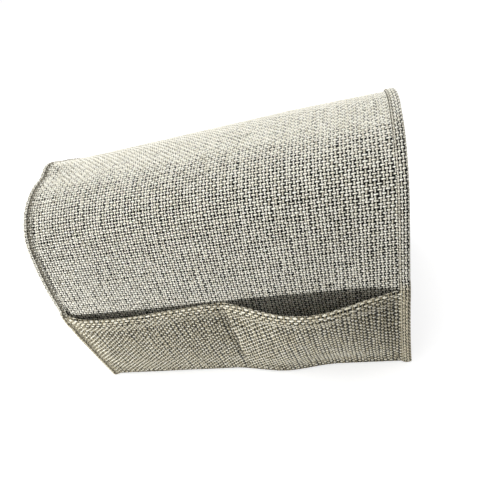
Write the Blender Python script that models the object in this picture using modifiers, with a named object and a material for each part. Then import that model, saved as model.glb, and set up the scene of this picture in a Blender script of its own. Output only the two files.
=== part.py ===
"""Sofa armrest organizer: a woven saddle that lies over a rounded sofa arm, with two pockets on each hanging side.

X runs along the arm, Z is up and the near side hangs at -Y. The origin is the middle of the crown's underside.
Girth is the distance along the arm's skin from the middle of the crown, and lift is the height above that skin.
Every ply of cloth is an open surface through its middle, laid out by girth and lift, with Solidify for its thickness.
"""

import math
from collections import namedtuple

import bmesh
import bpy
from mathutils import Vector

# Arm that the saddle fits, half of its outline from the crown down
LENGTH = 0.350
CROWN_HALF_FLAT = 0.015
SHOULDER_RADIUS = 0.065
SHOULDER_SWEEP = math.radians(28)
HAUNCH_RADIUS = 0.058
HAUNCH_SWEEP = math.radians(42)
SIDE_RADIUS = 0.340
STRAIGHT_DROP = 0.077
UPRIGHT = math.radians(90)

# Plies
COVER_THICKNESS = 0.0018
CLOTH_THICKNESS = 0.0010
PLY_GAP = 0.0003

# Edge tape, which wraps the two ends of the saddle
TAPE_WIDTH = 0.009
TAPE_STITCH_INSET = 0.0015

# Pockets
POCKET_DEPTH = 0.118
MOUTH_TURN = 0.012
MOUTH_STITCH_DEPTH = 0.009
HEM_TURN = 0.012
HEM_STITCH_HEIGHT = 0.010
TURN_STEP_RUN = 0.008
DIVIDER_X = 0.005
STITCH_SPACE = 0.0015

# Lift line, where a hanging side folds up off the arm
LIFT_LINE_ABOVE_MOUTH = 0.010
TAPE_LEVEL_RUN = 0.0015
LIFT_AXIS_CLEARANCE = 0.0002

# Sewing thread
THREAD_RADIUS = 0.00035

# How far each bay's mouth stands off the cover, and how far it sinks there
NEAR_LEFT_GAPE = 0.008
NEAR_LEFT_DROOP = 0.002
NEAR_RIGHT_GAPE = 0.021
NEAR_RIGHT_DROOP = 0.008
FAR_GAPE = 0.012
FAR_DROOP = 0.004

# One soft fold on each hanging side, fullest at the hem
NEAR_SWELL_X = 0.045
NEAR_SWELL_HALF_WIDTH = 0.060
NEAR_SWELL_HEIGHT = 0.006
FAR_SWELL_X = -0.050
FAR_SWELL_HALF_WIDTH = 0.060
FAR_SWELL_HEIGHT = 0.004

# Facets
SHOULDER_FACETS = 4
HAUNCH_FACETS = 6
SIDE_FACETS = 8
DROP_FACETS = 4
BEND_FACETS = 4
RAMP_FACETS = 3
BAY_FACETS = 11
BELLY_FACETS = 6

Bay = namedtuple("Bay", "gape droop peak_share")
Swell = namedtuple("Swell", "middle_x half_width height")
Side = namedtuple("Side", "name out left_bay right_bay swell")

NEAR_SIDE = Side(
    name="near",
    out=-1,
    left_bay=Bay(NEAR_LEFT_GAPE, NEAR_LEFT_DROOP, peak_share=0.28),
    right_bay=Bay(NEAR_RIGHT_GAPE, NEAR_RIGHT_DROOP, peak_share=0.53),
    swell=Swell(NEAR_SWELL_X, NEAR_SWELL_HALF_WIDTH, NEAR_SWELL_HEIGHT),
)
FAR_SIDE = Side(
    name="far",
    out=1,
    left_bay=Bay(FAR_GAPE, FAR_DROOP, peak_share=0.50),
    right_bay=Bay(FAR_GAPE, FAR_DROOP, peak_share=0.45),
    swell=Swell(FAR_SWELL_X, FAR_SWELL_HALF_WIDTH, FAR_SWELL_HEIGHT),
)
BELLY_POWER = 2.2
MOUTH_POWER = 1.3
HALF = 0.5

# Colours
LINEN = (0.50, 0.47, 0.41)
POCKET_LINEN = (0.42, 0.39, 0.33)
TAPE_LINEN = (0.46, 0.43, 0.37)
LINING_GREY = (0.16, 0.15, 0.14)
THREAD_CREAM = (0.62, 0.58, 0.50)
CLOTH_ROUGHNESS = 0.95
THREAD_ROUGHNESS = 0.80

# Worked out from the sizes above
END_X = LENGTH / 2
TAPE_INNER_X = END_X - TAPE_WIDTH
SIDE_SWEEP = UPRIGHT - SHOULDER_SWEEP - HAUNCH_SWEEP
ARCS = (
    (SHOULDER_RADIUS, SHOULDER_SWEEP, SHOULDER_FACETS),
    (HAUNCH_RADIUS, HAUNCH_SWEEP, HAUNCH_FACETS),
    (SIDE_RADIUS, SIDE_SWEEP, SIDE_FACETS),
)
CURVE_END_GIRTH = CROWN_HALF_FLAT + sum(radius * sweep for radius, sweep, _ in ARCS)
HEM_GIRTH = CURVE_END_GIRTH + STRAIGHT_DROP
MOUTH_GIRTH = HEM_GIRTH - POCKET_DEPTH
LIFT_LINE_GIRTH = MOUTH_GIRTH - LIFT_LINE_ABOVE_MOUTH
TOP_END_GIRTH = LIFT_LINE_GIRTH - PLY_GAP / 2
FLAP_START_GIRTH = LIFT_LINE_GIRTH + PLY_GAP / 2

# Lifts of each ply's middle
PLY_STEP = CLOTH_THICKNESS + PLY_GAP
LINING_LIFT = CLOTH_THICKNESS / 2
COVER_LIFT = PLY_STEP + COVER_THICKNESS / 2
OVER_COVER_LIFT = PLY_STEP + COVER_THICKNESS + PLY_GAP + CLOTH_THICKNESS / 2
OVER_POCKET_LIFT = OVER_COVER_LIFT + PLY_STEP
OVER_MOUTH_LIFT = OVER_POCKET_LIFT + PLY_STEP
THREAD_LIFT = CLOTH_THICKNESS / 2 + PLY_GAP + THREAD_RADIUS
LIFT_AXIS_LIFT = OVER_COVER_LIFT + THREAD_LIFT + THREAD_RADIUS + LIFT_AXIS_CLEARANCE

# Edges of the plies inside the tape and the hem
THICKEST_TAPE = OVER_MOUTH_LIFT + CLOTH_THICKNESS / 2
COVER_END_X = END_X - THICKEST_TAPE / 2
LINING_END_X = TAPE_INNER_X - PLY_GAP
MOUTH_ROLL_RADIUS = PLY_STEP / 2
MOUTH_ROLL_GIRTH = MOUTH_ROLL_RADIUS + CLOTH_THICKNESS / 2
HEM_ROLL_RADIUS = (OVER_COVER_LIFT - LINING_LIFT) / 2
HEM_ROLL_GIRTH = HEM_GIRTH - HEM_ROLL_RADIUS - CLOTH_THICKNESS / 2
HEM_STITCH_GIRTH = HEM_GIRTH - HEM_STITCH_HEIGHT


def skin(girth):
    """Where the arm's skin lies at a girth, on the side where Y is positive, and its slope there."""
    y, z, slope = min(girth, CROWN_HALF_FLAT), 0, 0
    left = girth - y
    for radius, sweep, _ in ARCS:
        turn = min(left / radius, sweep)
        y += radius * (math.sin(slope + turn) - math.sin(slope))
        z += radius * (math.cos(slope + turn) - math.cos(slope))
        slope += turn
        left -= radius * turn
    return y + left * math.cos(slope), z - left * math.sin(slope), slope


def eased(share):
    """0 to 1 with a level start and end."""
    share = min(max(share, 0), 1)
    return share * share * (3 - 2 * share)


def swell_height(side, x, girth):
    """How far the hanging cloth stands off the arm in its soft fold."""
    across = min(abs(x - side.swell.middle_x) / side.swell.half_width, 1)
    down = eased((girth - MOUTH_GIRTH) / (HEM_GIRTH - MOUTH_GIRTH))
    return side.swell.height * HALF * (1 + math.cos(math.pi * across)) * down


def place(side, x, girth, lift):
    y, z, slope = skin(girth)
    out = lift + swell_height(side, x, girth)
    return Vector((x, side.out * (y + out * math.sin(slope)), z + out * math.cos(slope)))


def place_on_top(x, signed_girth, lift):
    side = FAR_SIDE if signed_girth > 0 else NEAR_SIDE
    return place(side, x, abs(signed_girth), lift)


def between(start, end, facets):
    return [start + (end - start) * step / facets for step in range(facets + 1)]


def girth_rows(start, end):
    """Girths from start to end: both of them, and every facet edge of the arm's outline between them."""
    edges = [CROWN_HALF_FLAT]
    for radius, sweep, facets in ARCS:
        edges += between(edges[-1], edges[-1] + radius * sweep, facets)[1:]
    edges += between(edges[-1], HEM_GIRTH, DROP_FACETS)[1:-1]
    margin = PLY_GAP * 4
    return [start] + [edge for edge in edges if start + margin < edge < end - margin] + [end]


def top_rows():
    """Signed girths over the crown, from one lift line to the other."""
    half = girth_rows(CROWN_HALF_FLAT, TOP_END_GIRTH)
    return [-girth for girth in reversed(half)] + half


def bay_edges():
    """X of the two seams of the left bay and of the right bay."""
    return (-LINING_END_X, DIVIDER_X), (DIVIDER_X, LINING_END_X)


def bay_columns():
    """X of the pocket cloth's columns, closest together beside each seam."""
    columns = [-COVER_END_X, -LINING_END_X]
    for start, end in bay_edges():
        for step in range(1, BAY_FACETS + 1):
            share = HALF * (1 - math.cos(math.pi * step / BAY_FACETS))
            columns.append(start + (end - start) * share)
    return columns + [COVER_END_X]


def fullness(side, x):
    """The bay at an X, and how full it is there, from 0 at its seams to 1 at its peak."""
    left_edges, right_edges = bay_edges()
    bay, (start, end) = (side.left_bay, left_edges) if x < DIVIDER_X else (side.right_bay, right_edges)
    share = min(max((x - start) / (end - start), 0), 1)
    warped = share ** (math.log(HALF) / math.log(bay.peak_share))
    return bay, max(math.sin(math.pi * warped), 0) ** MOUTH_POWER


def mouth_girth(side, x):
    bay, full = fullness(side, x)
    return MOUTH_GIRTH + bay.droop * full


def pocket_lift(side, x, girth):
    """Lift of the middle of the pocket's outer ply: full at the mouth, flat on the cover at the hem's stitching."""
    bay, full = fullness(side, x)
    mouth = mouth_girth(side, x)
    down = min(max((girth - mouth) / (HEM_STITCH_GIRTH - mouth), 0), 1)
    stepped = eased(1 - (girth - mouth - MOUTH_TURN) / TURN_STEP_RUN)
    return OVER_COVER_LIFT + PLY_STEP * stepped + bay.gape * full * (1 - down**BELLY_POWER)


def tape_lift(girth):
    """Lift of the middle of the tape's outer leg: over the cover, then the mouth's two plies, then the pocket."""
    ramp_start = FLAP_START_GIRTH + TAPE_LEVEL_RUN
    up = eased((girth - ramp_start) / (MOUTH_GIRTH - PLY_GAP - ramp_start))
    down = eased((girth - MOUTH_GIRTH - MOUTH_TURN) / TURN_STEP_RUN)
    return OVER_COVER_LIFT + 2 * PLY_STEP * up - PLY_STEP * down


def flap_tape_rows():
    ramp_start = FLAP_START_GIRTH + TAPE_LEVEL_RUN
    step_start = MOUTH_GIRTH + MOUTH_TURN
    return (
        [FLAP_START_GIRTH]
        + between(ramp_start, MOUTH_GIRTH - PLY_GAP, RAMP_FACETS)
        + between(step_start, step_start + TURN_STEP_RUN, RAMP_FACETS - 1)
        + girth_rows(step_start + TURN_STEP_RUN, HEM_GIRTH)[1:]
    )


def half_turn(middle, radius):
    """Points of a half circle on the (along, lift) plane, starting below its middle and bulging along."""
    along, lift = middle
    for step in range(BEND_FACETS + 1):
        angle = math.pi * step / BEND_FACETS
        yield along + radius * math.sin(angle), lift - radius * math.cos(angle)


def tape_section(end, outer_lift):
    """Middle of the tape's U at one end of the saddle, as (x, lift): inner leg, bend over the edge, outer leg."""
    radius = (outer_lift - LINING_LIFT) / 2
    bend_x = END_X - CLOTH_THICKNESS / 2 - radius
    inner, outer = (TAPE_INNER_X, LINING_LIFT), (TAPE_INNER_X, outer_lift)
    bend = half_turn((bend_x, LINING_LIFT + radius), radius)
    return [(end * x, lift) for x, lift in (inner, *bend, outer)]


def pocket_section(side, x):
    """Middle of the pocket cloth at an X, as (girth, lift): turned-in mouth, outer ply, hem and its turned-up leg."""
    mouth = mouth_girth(side, x)
    roll = mouth + MOUTH_ROLL_GIRTH
    roll_lift = pocket_lift(side, x, roll) - MOUTH_ROLL_RADIUS
    turned = [(mouth + MOUTH_TURN, roll_lift - MOUTH_ROLL_RADIUS)]
    mouth_bend = [(2 * roll - girth, lift) for girth, lift in half_turn((roll, roll_lift), MOUTH_ROLL_RADIUS)]
    step_start = mouth + MOUTH_TURN
    girths = [step_start, *between(step_start + TURN_STEP_RUN, HEM_STITCH_GIRTH, BELLY_FACETS)]
    outer = [(girth, pocket_lift(side, x, girth)) for girth in girths]
    hem_middle = (HEM_ROLL_GIRTH, LINING_LIFT + HEM_ROLL_RADIUS)
    hem_bend = list(half_turn(hem_middle, HEM_ROLL_RADIUS))[::-1]
    return turned + mouth_bend + outer + hem_bend + [(HEM_GIRTH - HEM_TURN, LINING_LIFT)]


def collection_for(name):
    collection = bpy.data.collections.new(name)
    bpy.context.scene.collection.children.link(collection)
    return collection


def material_for(name, colour, roughness):
    material = bpy.data.materials.new(name)
    material.use_nodes = True
    shader = material.node_tree.nodes["Principled BSDF"]
    shader.inputs["Base Color"].default_value = (*colour, 1)
    shader.inputs["Roughness"].default_value = roughness
    shader.inputs["Metallic"].default_value = 0
    return material


def add_part(collection, name, data, carrier, material):
    """Puts a shape made in world coordinates under the empty that carries it."""
    part = bpy.data.objects.new(name, data)
    part.parent = carrier
    part.data.transform(carrier.matrix_basis.inverted())
    part.data.materials.append(material)
    collection.objects.link(part)
    return part


def add_carrier(collection, name, location):
    carrier = bpy.data.objects.new(name, None)
    carrier.location = location
    carrier.empty_display_size = TAPE_WIDTH
    collection.objects.link(carrier)
    return carrier


def add_ply(collection, name, carrier, points, thickness, material, keep=None):
    """A sheet of cloth through rows of points, thickened about its middle. keep says which faces stay."""
    rows, columns = len(points), len(points[0])
    work = bmesh.new()
    bmesh.ops.create_grid(work, x_segments=columns - 1, y_segments=rows - 1, size=1)
    work.verts.ensure_lookup_table()
    for index, vertex in enumerate(work.verts):
        vertex.co = points[index // columns][index % columns]
    if keep:
        dropped = [face for face in work.faces if not keep(*divmod(min(v.index for v in face.verts), columns))]
        bmesh.ops.delete(work, geom=dropped, context="FACES")
    mesh = bpy.data.meshes.new(name)
    work.to_mesh(mesh)
    work.free()
    mesh.shade_smooth()
    ply = add_part(collection, name, mesh, carrier, material)
    solidify = ply.modifiers.new("thickness", "SOLIDIFY")
    solidify.thickness = thickness
    solidify.offset = 0
    solidify.use_even_offset = True
    solidify.use_quality_normals = True
    return ply


def add_thread(collection, name, carrier, points, material):
    """A line of stitching, as one thread along the face of the cloth."""
    curve = bpy.data.curves.new(name, "CURVE")
    curve.dimensions = "3D"
    curve.bevel_depth = THREAD_RADIUS
    curve.bevel_resolution = 0
    curve.use_fill_caps = True
    spline = curve.splines.new("POLY")
    spline.points.add(len(points) - 1)
    for target, point in zip(spline.points, points):
        target.co = (*point, 1)
    return add_part(collection, name, curve, carrier, material)


def add_tape(collection, name, carrier, end, spots, material):
    """Tape down one end of the saddle. spots gives each row's place function and outer lift."""
    points = [[put(x, lift) for x, lift in tape_section(end, outer)] for put, outer in spots]
    return add_ply(collection, name, carrier, points, CLOTH_THICKNESS, material)


def add_tape_stitching(collection, name, carrier, end, spots, material):
    x = end * (TAPE_INNER_X + TAPE_STITCH_INSET)
    points = [put(x, outer + THREAD_LIFT) for put, outer in spots]
    return add_thread(collection, name, carrier, points, material)


def top_spot(signed_girth):
    return (lambda x, lift: place_on_top(x, signed_girth, lift)), OVER_COVER_LIFT


def flap_spot(side, girth):
    return (lambda x, lift: place(side, x, girth, lift)), tape_lift(girth)


def add_end_tapes(collection, prefix, carrier, spots):
    """The tape and its stitching on both ends of one moving or fixed stretch of the saddle."""
    for end_name, end in (("left", -1), ("right", 1)):
        tape = f"{prefix}_{end_name}_binding"
        thread = f"{prefix}_{end_name}_stitching"
        add_tape(collection, tape, carrier, end, spots, material_for(tape, TAPE_LINEN, CLOTH_ROUGHNESS))
        thread_material = material_for(thread, THREAD_CREAM, THREAD_ROUGHNESS)
        add_tape_stitching(collection, thread, carrier, end, spots, thread_material)


def add_top(collection):
    """The stretch that stays on the arm, between the two lift lines."""
    carrier = add_carrier(collection, "top", (0, 0, 0))
    rows = top_rows()
    for name, end_x, lift, thickness, colour in (
        ("top_cover", COVER_END_X, COVER_LIFT, COVER_THICKNESS, LINEN),
        ("top_lining", LINING_END_X, LINING_LIFT, CLOTH_THICKNESS, LINING_GREY),
    ):
        points = [[place_on_top(x, girth, lift) for x in (-end_x, end_x)] for girth in rows]
        material = material_for(name, colour, CLOTH_ROUGHNESS)
        add_ply(collection, name, carrier, points, thickness, material)
    add_end_tapes(collection, "top", carrier, [top_spot(girth) for girth in rows])


def add_flap_plies(collection, side, carrier):
    """Cover and lining of a hanging side, on the pocket's own columns, so that the soft fold nests ply in ply."""
    columns = bay_columns()
    lining_end = HEM_GIRTH - HEM_TURN - PLY_GAP
    for name, xs, end_girth, lift, thickness, colour in (
        ("cover", columns, HEM_ROLL_GIRTH, COVER_LIFT, COVER_THICKNESS, LINEN),
        ("lining", columns[1:-1], lining_end, LINING_LIFT, CLOTH_THICKNESS, LINING_GREY),
    ):
        name = f"{side.name}_{name}"
        rows = girth_rows(FLAP_START_GIRTH, end_girth)
        points = [[place(side, x, girth, lift) for x in xs] for girth in rows]
        material = material_for(name, colour, CLOTH_ROUGHNESS)
        add_ply(collection, name, carrier, points, thickness, material)


def add_pocket(collection, side, carrier):
    """One cloth for both bays: its mouth is turned in, and its foot wraps the hem. Its foot stops short of the tape."""
    name = f"{side.name}_pocket_panel"
    columns = bay_columns()
    sections = [pocket_section(side, x) for x in columns]
    points = [
        [place(side, x, *section[row]) for x, section in zip(columns, sections)]
        for row in range(len(sections[0]))
    ]
    first_hem_row = len(points) - BEND_FACETS - 2
    last_column = len(columns) - 2

    def keep(row, column):
        return row < first_hem_row or 0 < column < last_column

    material = material_for(name, POCKET_LINEN, CLOTH_ROUGHNESS)
    add_ply(collection, name, carrier, points, CLOTH_THICKNESS, material, keep)


def add_pocket_stitching(collection, side, carrier):
    """The lines of thread across the mouth, down the divider and along the hem."""
    columns = [-LINING_END_X + STITCH_SPACE, *bay_columns()[2:-2], LINING_END_X - STITCH_SPACE]
    girths = between(MOUTH_GIRTH + MOUTH_TURN + TURN_STEP_RUN, HEM_STITCH_GIRTH, BELLY_FACETS)
    girths[-1] -= STITCH_SPACE
    below_mouth = MOUTH_GIRTH + MOUTH_STITCH_DEPTH + STITCH_SPACE
    runs = {
        "mouth": [(x, mouth_girth(side, x) + MOUTH_STITCH_DEPTH) for x in columns],
        "divider": [(DIVIDER_X, girth) for girth in [below_mouth, MOUTH_GIRTH + MOUTH_TURN, *girths]],
        "hem": [(x, HEM_STITCH_GIRTH) for x in columns],
    }
    for run_name, spots in runs.items():
        name = f"{side.name}_{run_name}_stitching"
        points = [place(side, x, girth, pocket_lift(side, x, girth) + THREAD_LIFT) for x, girth in spots]
        add_thread(collection, name, carrier, points, material_for(name, THREAD_CREAM, THREAD_ROUGHNESS))


def add_flap(collection, side):
    """A hanging side, carried on its lift line just outside the cloth."""
    axis = place(side, 0, LIFT_LINE_GIRTH, LIFT_AXIS_LIFT)
    carrier = add_carrier(collection, f"{side.name}_flap", axis)
    add_flap_plies(collection, side, carrier)
    add_pocket(collection, side, carrier)
    add_pocket_stitching(collection, side, carrier)
    add_end_tapes(collection, side.name, carrier, [flap_spot(side, girth) for girth in flap_tape_rows()])


def main():
    for old in list(bpy.data.objects):
        bpy.data.objects.remove(old, do_unlink=True)
    collection = collection_for("sofa_armrest_organizer")
    add_top(collection)
    add_flap(collection, NEAR_SIDE)
    add_flap(collection, FAR_SIDE)


main()
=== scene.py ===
"""Looks of the sofa armrest organizer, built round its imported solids.

Lengths are in metres. X runs along the arm, Z is up and the near side hangs at -Y.
Girth is the distance along the arm's skin from the middle of the crown. A signed girth is above
0 on the near side and below 0 on the far side. Lift is the height above that skin.
The cloths are laid out in cells: u counts warp yarns along the arm and v counts weft yarns along
the girth, so that each crossing of the weave is real relief.
"""

import math
from collections import namedtuple

import bpy
import numpy as np
from mathutils import Matrix, Vector


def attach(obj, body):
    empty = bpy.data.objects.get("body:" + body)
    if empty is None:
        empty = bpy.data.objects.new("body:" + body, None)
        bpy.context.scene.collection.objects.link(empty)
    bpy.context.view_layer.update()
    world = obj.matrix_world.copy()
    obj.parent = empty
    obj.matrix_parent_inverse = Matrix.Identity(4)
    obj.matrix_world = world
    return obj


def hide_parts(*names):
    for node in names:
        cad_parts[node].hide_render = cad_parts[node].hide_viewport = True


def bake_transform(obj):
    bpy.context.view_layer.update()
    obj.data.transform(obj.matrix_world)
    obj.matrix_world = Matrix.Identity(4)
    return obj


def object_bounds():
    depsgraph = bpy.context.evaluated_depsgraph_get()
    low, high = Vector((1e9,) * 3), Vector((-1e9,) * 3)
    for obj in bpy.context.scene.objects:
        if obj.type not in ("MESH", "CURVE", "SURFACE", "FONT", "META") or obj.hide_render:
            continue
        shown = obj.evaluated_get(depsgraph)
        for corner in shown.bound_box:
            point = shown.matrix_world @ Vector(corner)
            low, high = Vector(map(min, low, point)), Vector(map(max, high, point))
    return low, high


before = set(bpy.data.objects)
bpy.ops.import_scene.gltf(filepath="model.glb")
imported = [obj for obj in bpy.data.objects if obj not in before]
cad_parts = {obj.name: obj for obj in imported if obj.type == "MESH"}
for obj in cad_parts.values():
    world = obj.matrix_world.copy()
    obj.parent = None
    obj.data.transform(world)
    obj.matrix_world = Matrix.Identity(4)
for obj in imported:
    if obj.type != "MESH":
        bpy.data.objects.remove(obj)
CAD_LOW, CAD_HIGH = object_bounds()

# Arm outline, as in the part
CROWN_HALF_FLAT = 0.015
ARCS = ((0.065, math.radians(28)), (0.058, math.radians(42)), (0.340, math.radians(20)))
STRAIGHT_DROP = 0.077
HEM_GIRTH = CROWN_HALF_FLAT + sum(radius * sweep for radius, sweep in ARCS) + STRAIGHT_DROP

# Lengths of the cloths, as in the part
POCKET_DEPTH = 0.118
MOUTH_GIRTH = HEM_GIRTH - POCKET_DEPTH
MOUTH_STITCH_DEPTH = 0.009
MOUTH_TURN = 0.012
HEM_TURN = 0.012
HEM_STITCH_HEIGHT = 0.010
HEM_STITCH_GIRTH = HEM_GIRTH - HEM_STITCH_HEIGHT
DIVIDER_X = 0.005
END_X = 0.175
BAY_END_X = 0.1657
TAPE_INNER_X = 0.166
TAPE_STITCH_INSET = 0.0015
COVER_THICKNESS = 0.0018
POCKET_THICKNESS = 0.0010
TAPE_THICKNESS = 0.0010
LINING_THICKNESS = 0.0010

# Lifts of the middle of each ply, as in the part
LINING_LIFT = 0.0005
COVER_LIFT = 0.0022
OVER_COVER_LIFT = 0.0039
PLY_STEP = 0.0013

Bay = namedtuple("Bay", "gape droop peak_share")
Swell = namedtuple("Swell", "middle_x half_width height")
Side = namedtuple("Side", "name sign body left_bay right_bay swell seed")
NEAR = Side(
    "near", 1, "near_flap",
    left_bay=Bay(gape=0.0062, droop=0.0034, peak_share=0.28),
    right_bay=Bay(gape=0.022, droop=0.003, peak_share=0.50),
    swell=Swell(middle_x=0.045, half_width=0.060, height=0.006),
    seed=11,
)
FAR = Side(
    "far", -1, "far_flap",
    left_bay=Bay(gape=0.012, droop=0.004, peak_share=0.50),
    right_bay=Bay(gape=0.012, droop=0.004, peak_share=0.45),
    swell=Swell(middle_x=-0.050, half_width=0.060, height=0.004),
    seed=23,
)
SIDES = (NEAR, FAR)
ENDS = {-1: "left", 1: "right"}
BELLY_POWER = 1.1
MOUTH_POWER = 1.3

# How far the cloth has slid along the arm, because it was laid a little askew. The slide falls off
# towards the near hem, is most at a fifth of the far side's girth, and is gone at the far hem.
CROWN_SLIDE = 0.0046
NEAR_SLIDE_FALL = 0.02555
NEAR_SLIDE_CURVE = 0.01779
FAR_SLIDE_RISE = 0.00511
MOST_SLIDE = 0.0069
MOST_SLIDE_SHARE = 0.2

# At the left end the cloth sags over the far shoulder, and its corner stands up at the crown
SAG = 0.0068
SAG_START_X = 0.080
SAG_RUN = 0.240
SAG_GIRTH = -0.050
SAG_HALF_WIDTH = 0.050
CORNER_RISE = 0.005
CORNER_START_X = -0.125
CORNER_RUN = 0.050
CORNER_GIRTH = -0.008
CORNER_HALF_WIDTH = 0.020

# Weave. Heights are in millimetres and widths in cells.
WARP_PITCH = 0.0031
WEFT_PITCH = 0.0026
COVER_CELLS = 110
YARN_HALF_WIDTH = 0.255
YARN_SWING = 0.24
YARN_BODY = 0.34
HOLE_DEPTH = 0.50
NO_YARN = -9
MILLIMETRE = 0.001
MESH_SHARES = (0.23, 0.5, 0.77)
# A mesh line on the edge of a cell belongs to the cell before it
EDGE_NUDGE = 1e-9


def smooth(share):
    share = np.clip(share, 0, 1)
    return share * share * (3 - 2 * share)


def hump(at, middle, half_width):
    return 0.5 * (1 + np.cos(math.pi * np.clip(np.abs(at - middle) / half_width, 0, 1)))


def skin(girth):
    """Distance from the middle plane, height and slope of the skin at a girth of 0 or more."""
    y = np.minimum(girth, CROWN_HALF_FLAT)
    z = np.zeros_like(y)
    slope = np.zeros_like(y)
    left = girth - y
    for radius, sweep in ARCS:
        turn = np.minimum(left / radius, sweep)
        y = y + radius * (np.sin(slope + turn) - np.sin(slope))
        z = z + radius * (np.cos(slope + turn) - np.cos(slope))
        slope = slope + turn
        left = left - radius * turn
    return y + left * np.cos(slope), z - left * np.sin(slope), slope


def slide(signed):
    """How far the cloth has slid along the arm at a signed girth."""
    share = signed / HEM_GIRTH
    near = CROWN_SLIDE - NEAR_SLIDE_FALL * share + NEAR_SLIDE_CURVE * share**2
    rise = np.clip(-share / MOST_SLIDE_SHARE, 0, 1)
    rest = MOST_SLIDE - CROWN_SLIDE - FAR_SLIDE_RISE
    far_top = CROWN_SLIDE + FAR_SLIDE_RISE * rise + rest * rise**2 * (3 - 2 * rise)
    fall = smooth((-share - MOST_SLIDE_SHARE) / (1 - MOST_SLIDE_SHARE))
    return np.where(share >= 0, near, far_top * (1 - fall))


def swell_height(side, x, girth):
    down = smooth((girth - MOUTH_GIRTH) / (HEM_GIRTH - MOUTH_GIRTH))
    return side.swell.height * hump(x, side.swell.middle_x, side.swell.half_width) * down


def settle(x, signed):
    """Lift that the corner at the left end gains and the far shoulder loses."""
    sag = SAG * np.clip((SAG_START_X - x) / SAG_RUN, 0, 1) * hump(signed, SAG_GIRTH, SAG_HALF_WIDTH)
    corner = CORNER_RISE * smooth((CORNER_START_X - x) / CORNER_RUN)
    return corner * hump(signed, CORNER_GIRTH, CORNER_HALF_WIDTH) - sag


def place(side, x, girth, lift):
    """Points of the draped cloth. girth is the distance down that side."""
    x, girth, lift = np.broadcast_arrays(*(np.asarray(given, float) for given in (x, girth, lift)))
    y, z, slope = skin(girth)
    signed = side.sign * girth
    out = lift + swell_height(side, x, girth) + settle(x, signed)
    points = x + slide(signed), -side.sign * (y + out * np.sin(slope)), z + out * np.cos(slope)
    return np.stack(points, -1)


def fullness(side, x):
    """Gape and droop of the pocket's mouth at X."""
    x = np.asarray(x, float)
    gape, droop = np.zeros_like(x), np.zeros_like(x)
    bays = (side.left_bay, -BAY_END_X, DIVIDER_X), (side.right_bay, DIVIDER_X, BAY_END_X)
    for bay, start, end in bays:
        share = (x - start) / (end - start)
        inside = (share > 0) & (share < 1)
        warped = np.clip(share, 0, 1) ** (math.log(0.5) / math.log(bay.peak_share))
        full = np.where(inside, np.maximum(np.sin(math.pi * warped), 0) ** MOUTH_POWER, 0)
        gape, droop = gape + bay.gape * full, droop + bay.droop * full
    return gape, droop


# Random but repeatable wander of the yarns, in cells, and of how thick they are
WARP_SEED, BODY_SEED = 5, 6
WARP_WANDER, WEFT_WANDER = 0.105, 0.095
POCKET_WARP_WANDER, POCKET_WEFT_WANDER = 0.13, 0.11
# Cells over which the wander fades out at an edge of the cloth
STILL_CELLS = 1.5
KNOTS_APART = 6.0
BODY_KNOTS_APART = 5.0
BODY_SIZE = 0.16
SPARE_KNOTS = 4
# A place stays just short of the last knot but one
LAST_KNOT_BACK = 2.001


def wander(seed, yarns, low, high, knots_apart, size):
    """A smooth random curve along each yarn: a function of yarn numbers and places along them."""
    count = int((high - low) / knots_apart) + SPARE_KNOTS
    table = np.random.default_rng(seed).normal(0, size, (yarns, count))

    def read(yarn, along):
        at = np.clip((along - low) / knots_apart, 0, count - LAST_KNOT_BACK)
        knot = at.astype(int)
        part = smooth(at - knot)
        yarn = np.clip(yarn.astype(int), 0, yarns - 1)
        return table[yarn, knot] * (1 - part) + table[yarn, knot + 1] * part

    return read


def mesh_lines(cells):
    """Places of the mesh lines over so many cells: three in each cell, and both outer edges."""
    inner = (np.arange(cells)[:, None] + np.array(MESH_SHARES)).ravel()
    return np.concatenate([[0], inner, [cells]])


def yarn_top(middle, off_middle, body):
    """Height of a yarn's round top, or far below where the yarn doesn't reach."""
    round_share = np.sqrt(1 - np.minimum(off_middle / YARN_HALF_WIDTH, 1) ** 2)
    return np.where(off_middle < YARN_HALF_WIDTH, middle + YARN_BODY * body * round_share, NO_YARN)


def weave_height(u, v, body):
    """Height in metres of a plain weave over its mean plane."""
    i, j = np.floor(u - EDGE_NUDGE), np.floor(v - EDGE_NUDGE)
    sign_i, sign_j = 1 - 2 * np.mod(i, 2), 1 - 2 * np.mod(j, 2)
    warp = yarn_top(YARN_SWING * sign_i * np.sin(math.pi * v), np.abs(u - i - 0.5), body)
    weft = yarn_top(-YARN_SWING * sign_j * np.sin(math.pi * u), np.abs(v - j - 0.5), body)
    return np.maximum(np.maximum(warp, weft), -HOLE_DEPTH) * MILLIMETRE


def normals_of(points):
    """Outward normals of a grid of points, whose rows follow the girth and columns the arm."""
    normal = np.cross(np.gradient(points, axis=0), np.gradient(points, axis=1))
    return normal / np.linalg.norm(normal, axis=-1, keepdims=True)


def faces_of(centre, thickness, height):
    """Front and back of a cloth round a grid of middle points. height is added to the front."""
    normal = normals_of(centre)
    return centre + normal * (thickness / 2 + height)[..., None], centre - normal * (thickness / 2)


def ordered(side, *grids):
    """The same grids with their rows from the far hem towards the near hem."""
    return grids if side.sign > 0 else tuple(grid[::-1] for grid in grids)


# Closed cloth meshes
BACK_STEP = 3
BAKE_MARGIN = 0.004
BAKE_FRONT_TOP = 0.93
BAKE_BACK_LOW = 0.945
# Ways out of the flat layout over the first row, last row, first column and last column
BAKE_WAYS_OUT = ((0, -1), (0, 1), (-1, 0), (1, 0))


def coarse_lines(count, step):
    """Mesh line numbers kept on the back of a cloth: both edges and every step-th line."""
    return sorted({0, count - 1, *range(step - 1, count - 1, step)})


def grid_of(across, down):
    """Pairs of coordinates of a grid, row by row."""
    return np.stack(np.meshgrid(across, down), -1).reshape(-1, 2)


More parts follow.
